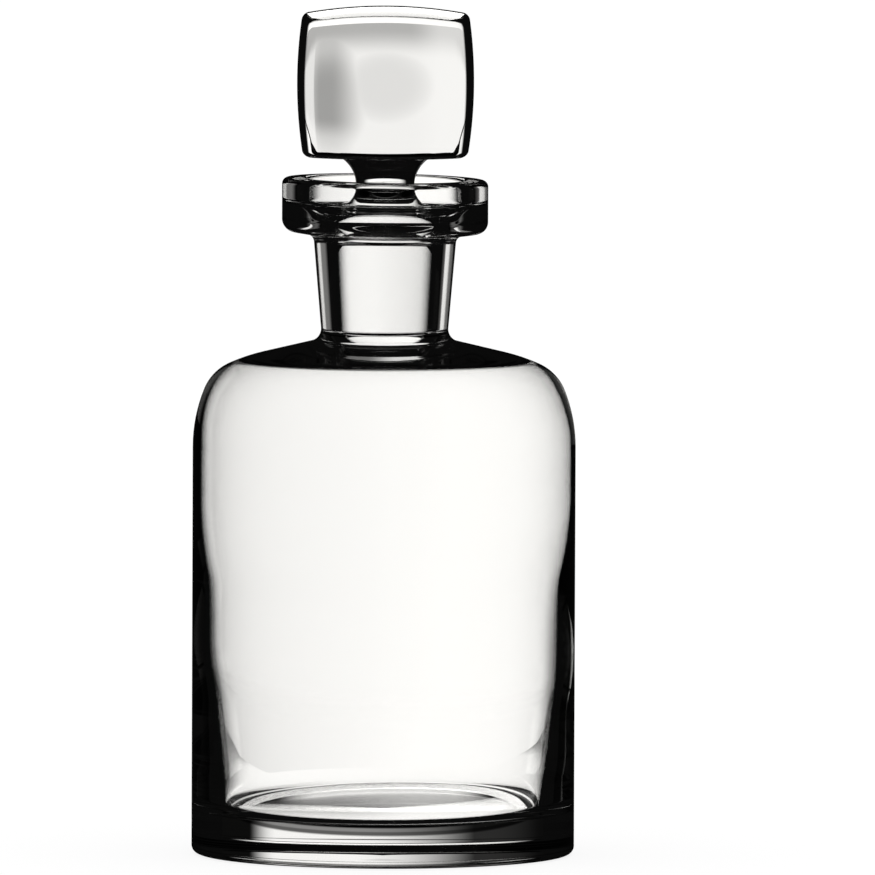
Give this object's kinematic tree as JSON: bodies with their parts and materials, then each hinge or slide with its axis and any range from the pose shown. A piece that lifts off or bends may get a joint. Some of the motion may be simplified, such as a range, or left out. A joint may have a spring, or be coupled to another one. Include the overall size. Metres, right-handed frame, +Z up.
{
  "type": "decanter",
  "caption": "Clear crystal whisky decanter: straight round body with a heavy base, flared neck, cupped lip, and a solid cushion-shaped stopper that lifts out of a ground taper.",
  "frame": {"origin": "centre of the base, on the plane the decanter stands on", "axes": "+Z up along the axis of the body, -Y towards the viewer, +X to the viewer's right; the stopper's head is square to X and Y"},
  "size_m": [0.105, 0.105, 0.2326],
  "materials": {
    "decanter_crystal": "polished clear",
    "stopper_crystal": "polished clear"
  },
  "bodies": {
    "decanter": {"decanter": "decanter_crystal"},
    "stopper": {"stopper": "stopper_crystal"}
  },
  "joints": [
    {"name": "stopper_lift", "type": "slide", "parent": "decanter", "child": "stopper", "axis": [0, 0, 1], "range_m": [0, 0.055]}
  ]
}
